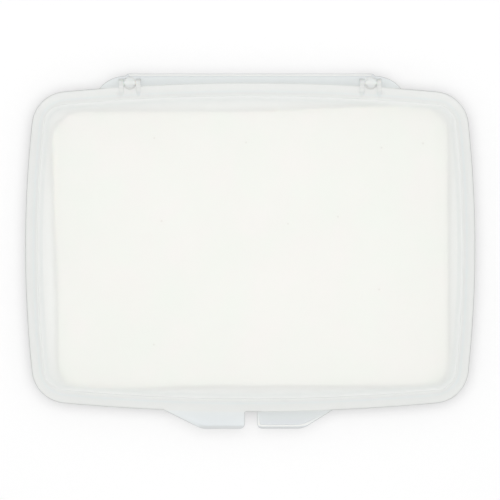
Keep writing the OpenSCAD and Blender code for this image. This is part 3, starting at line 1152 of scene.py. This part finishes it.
PANEL = [(9.0, 0.0), (11.0, 1.0)]

# Haze of painted shade on dark edges, painted light on pale places, faint clouds, and the clear
# plastic
EDGE_PAINTED_SHADE = (0.6, 0.61, 0.6)
EDGE_SHADE_SHARE = 0.7
PALE_PAINTED_LIGHT = (0.98, 0.985, 0.96)
PAINTED_LIGHT_SHARE = 0.9
PALE_SHADE = (0.985, 0.985, 0.985)
CLOUD_HAZE = (0.6, 0.64, 0.64)
CLEAR_TINT = (0.99, 0.993, 0.99)
SCUFF = 0.04
FRONT_SHARE = 0.8

# Colours of the other materials
PAPER_WHITES = [(0.28, (0.822, 0.824, 0.775)), (0.72, (0.88, 0.878, 0.836))]
PAPER_BLOTCHES = [(0.36, (0.81, 0.87, 0.79)), (0.64, (0.895, 0.839, 0.822))]
BLOTCH_SHARE = 0.6
FIBRE_COLOUR = (0.9, 0.88, 0.82)
FIBRE_SHARE = 0.12
FOAM_IVORY = [(0.3, (0.96, 0.955, 0.89)), (0.7, (0.975, 0.97, 0.92))]
# Painted shade in the foam's small cells and wider pores, and how much of it is mixed in
FOAM_CELL_SHADE = (0.78, 0.75, 0.66)
FOAM_PORE_SHADE = (0.7, 0.67, 0.57)
PORE_SHADE_SHARE = 0.15
SILICONE = [(0.3, (0.74, 0.8, 0.81)), (0.7, (0.78, 0.84, 0.85))]
NYLON = [(0.3, (0.74, 0.76, 0.74)), (0.7, (0.8, 0.82, 0.8))]


def speck_mask(tree, rarity):
    """SPECK_STRENGTH in a few small round specks across a sheet, 0 elsewhere."""
    sockets = {"Vector": object_place(tree), "Scale": SPECK_SCALE}
    cells = add_node(tree, "TexVoronoi", sockets, voronoi_dimensions="2D").outputs
    near = value_ramp(tree, cells["Distance"], SPECK_STRENGTH, 0.0, 0.015, 0.03)
    draw = add_node(tree, "SeparateColor", {"Color": cells["Color"]}).outputs["Red"]
    return add_math(tree, "MULTIPLY", near, add_math(tree, "GREATER_THAN", draw, rarity))


def by_inset(tree, stops):
    """A colour, or a grey number, that follows the distance in from the rim's outline."""
    inset = add_node(tree, "Attribute", attribute_name="inset").outputs["Fac"]
    factor = value_ramp(tree, inset, 0.0, 1.0, INSET_LOW, INSET_HIGH)
    places = [(inset_mm - INSET_LOW) / (INSET_HIGH - INSET_LOW) for inset_mm, _ in stops]
    colours = [v if isinstance(v, tuple) else (v, v, v) for _, v in stops]
    return ramp(tree, factor, list(zip(places, colours)))


def milk_colour(tree, haze, dark, pale):
    """Colour of the haze: by place, with painted shade on dark edges and painted light on pale
    places by tone, clouded, and with a few specks.
    """
    milk = mix_colour(tree, pale, by_inset(tree, haze), PALE_PAINTED_LIGHT)
    milk = mix_colour(tree, dark, milk, EDGE_PAINTED_SHADE)
    clouds = value_ramp(tree, noise_node(tree, 28.0, detail=3.0), 0.0, 0.05)
    milk = mix_colour(tree, clouds, milk, CLOUD_HAZE)
    panel = by_inset(tree, PANEL)
    specks = add_math(tree, "MULTIPLY", speck_mask(tree, LID_RARITY), panel)
    return mix_colour(tree, specks, milk, SPECK_COLOUR)


def clear_plastic(tree, rough, grain):
    """Clear plastic with a rough, lightly scuffed skin."""
    scuffs = noise_node(tree, 60.0, detail=4.0, roughness=0.65, stretch=(1.0, 9.0, 1.0))
    sockets = {
        "Base Color": (*CLEAR_TINT, 1),
        "Roughness": value_ramp(tree, scuffs, rough - SCUFF, rough + SCUFF),
        "Normal": grain,
        "Transmission Weight": 1.0,
        "IOR": 1.49,
    }
    return add_node(tree, "BsdfPrincipled", sockets)


def frosted_plastic(name, haze, share, shade, rough):
    """Clear plastic with a rough skin and a milky haze in it. The first face that is seen bends
    the view. Behind it, and for lamps and diffuse light, the plastic only hazes and tints."""
    material, tree = material_with(name)
    tone = add_node(tree, "Attribute", attribute_name="tone").outputs["Fac"]
    # The tone paints shade on dark edges and light on pale places, in the haze's colour and share
    dark = value_ramp(tree, tone, 0.0, 1.0)
    pale = value_ramp(tree, tone, 0.0, 1.0, end=-1.0)
    milk = milk_colour(tree, haze, dark, pale)
    milky = mix_number(tree, pale, by_inset(tree, share), PAINTED_LIGHT_SHARE)
    milky = mix_number(tree, dark, milky, EDGE_SHADE_SHARE)
    grain = bump(tree, noise_node(tree, 2600.0), strength=0.12, distance=0.00002)
    front = add_node(tree, "BsdfDiffuse", {"Color": milk, "Normal": grain})
    back = add_node(tree, "BsdfTranslucent", {"Color": milk, "Normal": grain})
    haze_shader = mix_shader(tree, FRONT_SHARE, back, front)
    body = mix_shader(tree, milky, clear_plastic(tree, rough, grain), haze_shader)
    tinted = add_node(tree, "BsdfTransparent", {"Color": (*CLEAR_TINT, 1)})
    behind = mix_shader(tree, milky, tinted, haze_shader)
    shade_tint = mix_colour(tree, pale, by_inset(tree, shade), PALE_SHADE)
    shadow = add_node(tree, "BsdfTransparent", {"Color": shade_tint})
    path = add_node(tree, "LightPath").outputs
    lit = mix_shader(tree, path["Is Diffuse Ray"], body, shadow)
    lit = mix_shader(tree, path["Is Transmission Ray"], lit, behind)
    lit = mix_shader(tree, path["Is Shadow Ray"], lit, shadow)
    add_node(tree, "OutputMaterial", {"Surface": lit.outputs[0]})
    return material


def paper_look(tree):
    """Damp palette paper: warm white, faintly mottled, with fibres and a few dark specks."""
    base = ramp(tree, noise_node(tree, 22.0, detail=5.0, roughness=0.6), PAPER_WHITES)
    blotches = ramp(tree, noise_node(tree, 70.0, detail=5.0, roughness=0.65), PAPER_BLOTCHES)
    base = mix_colour(tree, BLOTCH_SHARE, base, blotches)
    fibres = noise_node(tree, 700.0, detail=3.0, roughness=0.7, stretch=(1.0, 0.35, 1.0))
    base = mix_colour(tree, value_ramp(tree, fibres, 0.0, FIBRE_SHARE), base, FIBRE_COLOUR)
    return {
        "Base Color": mix_colour(tree, speck_mask(tree, PAPER_RARITY), base, SPECK_COLOUR),
        "Roughness": value_ramp(tree, fibres, 0.72, 0.9),
        "Normal": bump(tree, fibres, strength=0.3, distance=0.00008),
    }


def foam_look(tree):
    """Damp open-cell foam: ivory, with painted shade in its small cells and its wider pores."""
    where = object_place(tree)
    cells = add_node(tree, "TexVoronoi", {"Vector": where, "Scale": 900.0}).outputs["Distance"]
    pores = add_node(tree, "TexVoronoi", {"Vector": where, "Scale": 330.0}).outputs["Distance"]
    base = ramp(tree, noise_node(tree, 40.0, detail=3.0), FOAM_IVORY)
    base = mix_colour(tree, value_ramp(tree, cells, PORE_SHADE_SHARE, 0.0), base, FOAM_CELL_SHADE)
    base = mix_colour(tree, value_ramp(tree, pores, PORE_SHADE_SHARE, 0.0), base, FOAM_PORE_SHADE)
    return {
        "Base Color": base,
        "Roughness": value_ramp(tree, cells, 0.95, 0.75),
        "Normal": bump(tree, cells, strength=0.6, distance=0.0003),
        "Subsurface Weight": 0.1,
        "Subsurface Scale": 0.002,
    }


def rubber_look(tree):
    """Milky silicone rubber of the seal ring."""
    clouds = noise_node(tree, 90.0, detail=3.0)
    return {
        "Base Color": ramp(tree, clouds, SILICONE),
        "Roughness": value_ramp(tree, clouds, 0.42, 0.55),
        "Normal": bump(tree, noise_node(tree, 1500.0), strength=0.1, distance=0.00003),
        "Subsurface Weight": 0.3,
        "Subsurface Scale": 0.001,
    }


def pin_look(tree):
    """Natural nylon of the hinge pins, lightly drawn along their length."""
    drawn = noise_node(tree, 900.0, stretch=(0.05, 1.0, 1.0))
    return {
        "Base Color": ramp(tree, drawn, NYLON),
        "Roughness": value_ramp(tree, drawn, 0.28, 0.42),
        "Normal": bump(tree, drawn, strength=0.15, distance=0.00003),
        "Subsurface Weight": 0.2,
        "Subsurface Scale": 0.001,
    }


# ---------- stage

# In metres and watts, but the lens and its sensor in millimetres
FLOOR_COLOUR = (0.96, 0.96, 0.96)
FLOOR_LIFT = 0.06
FLOOR_HALF = 6.0
WORLD_LIGHT = 0.45
KEY_LIGHT = 6.9
KEY_SIZE = 0.9
KEY_PLACE = (0.0, 0.03, 1.0)

# The camera sees VIEW_WIDTH of a level plane at about the rims' height
VIEW_WIDTH = 0.2555
VIEW_CENTRE = (-0.0001, 0.0006)
VIEW_PLANE = 0.0125
LENS = 200.0
SENSOR = 36.0


def seen_rays(tree):
    """1 for what the camera sees: straight, as a reflection, or through the plastic."""
    path = add_node(tree, "LightPath").outputs
    seen = path["Is Camera Ray"]
    for kind in ("Is Glossy Ray", "Is Transmission Ray"):
        seen = add_math(tree, "MAXIMUM", seen, path[kind])
    return seen


def floor_material():
    """A white backdrop that keeps the object's shadow."""
    material, tree = material_with("backdrop")
    paper = add_node(tree, "BsdfDiffuse", {"Color": (*FLOOR_COLOUR, 1)})
    strength = value_ramp(tree, seen_rays(tree), 0.0, FLOOR_LIFT)
    lift = add_node(tree, "Emission", {"Strength": strength})
    both = add_node(tree, "AddShader")
    tree.links.new(paper.outputs[0], both.inputs[0])
    tree.links.new(lift.outputs[0], both.inputs[1])
    add_node(tree, "OutputMaterial", {"Surface": both.outputs[0]})
    return material


def build_floor():
    """A level white floor under the palette."""
    mesh = bpy.data.meshes.new("floor")
    corners = [(-1, -1), (1, -1), (1, 1), (-1, 1)]
    mesh.from_pydata([(x * FLOOR_HALF, y * FLOOR_HALF, 0) for x, y in corners], [], [(0, 1, 2, 3)])
    floor = add_object("floor", mesh)
    mesh.materials.append(floor_material())


def build_world():
    """Even light from all sides, which the camera sees as white."""
    world = bpy.data.worlds.new("studio")
    world.use_nodes = True
    tree = world.node_tree
    tree.nodes.clear()
    strength = value_ramp(tree, seen_rays(tree), WORLD_LIGHT, 1.0)
    light = add_node(tree, "Background", {"Color": (1, 1, 1, 1), "Strength": strength})
    add_node(tree, "OutputWorld", {"Surface": light.outputs[0]})
    bpy.context.scene.world = world


def build_key():
    """A soft lamp above the palette."""
    lamp = bpy.data.lights.new("key", "AREA")
    lamp.size = KEY_SIZE
    lamp.energy = KEY_LIGHT
    key = add_object("key", lamp)
    key.location = KEY_PLACE
    key.rotation_euler = (-key.location).to_track_quat("-Z", "Y").to_euler()


def build_camera():
    """Straight above the closed palette, through a long lens."""
    data = bpy.data.cameras.new("camera")
    data.lens = LENS
    data.sensor_width = SENSOR
    camera = add_object("camera", data)
    camera.location = (*VIEW_CENTRE, VIEW_PLANE + VIEW_WIDTH * LENS / SENSOR)
    bpy.context.scene.camera = camera


def place(obj, material, body, slot, node):
    """Gives a piece its material and body, in place of its CAD node. Its slot is not used."""
    obj.data.materials.clear()
    obj.data.materials.append(material)
    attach(obj, body)
    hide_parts(node)


def main():
    lid_plastic = frosted_plastic("lid_frosted", LID_HAZE_AND_PAINTED_SHADING, LID_SHARE, LID_SHADE, rough=0.37)
    tray_plastic = frosted_plastic("tray_frosted", TRAY_HAZE_AND_PAINTED_SHADE, TRAY_SHARE, TRAY_SHADE, rough=0.32)
    place(lid_shell(), lid_plastic, "cover", "lid_plastic", "lid")
    place(tray_shell(), tray_plastic, "tray", "tray_plastic", "base_tray")
    silicone = principled_material("seal_silicone", rubber_look)
    place(seal_piece(), silicone, "cover", "seal", "seal_ring")
    foam = sponge_piece()
    place(foam, principled_material("foam_damp", foam_look), "tray", "foam", "sponge")
    damp_paper = principled_material("palette_paper_damp", paper_look)
    place(paper_piece(), damp_paper, "tray", "paper", "palette_paper")
    nylon = principled_material("pin_nylon", pin_look)
    for name in ("hinge_pin_left", "hinge_pin_right"):
        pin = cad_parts[name]
        pin.data.materials.clear()
        pin.data.materials.append(nylon)
    build_floor()
    build_world()
    build_key()
    build_camera()
    bpy.context.scene.view_settings.view_transform = "Standard"


main()
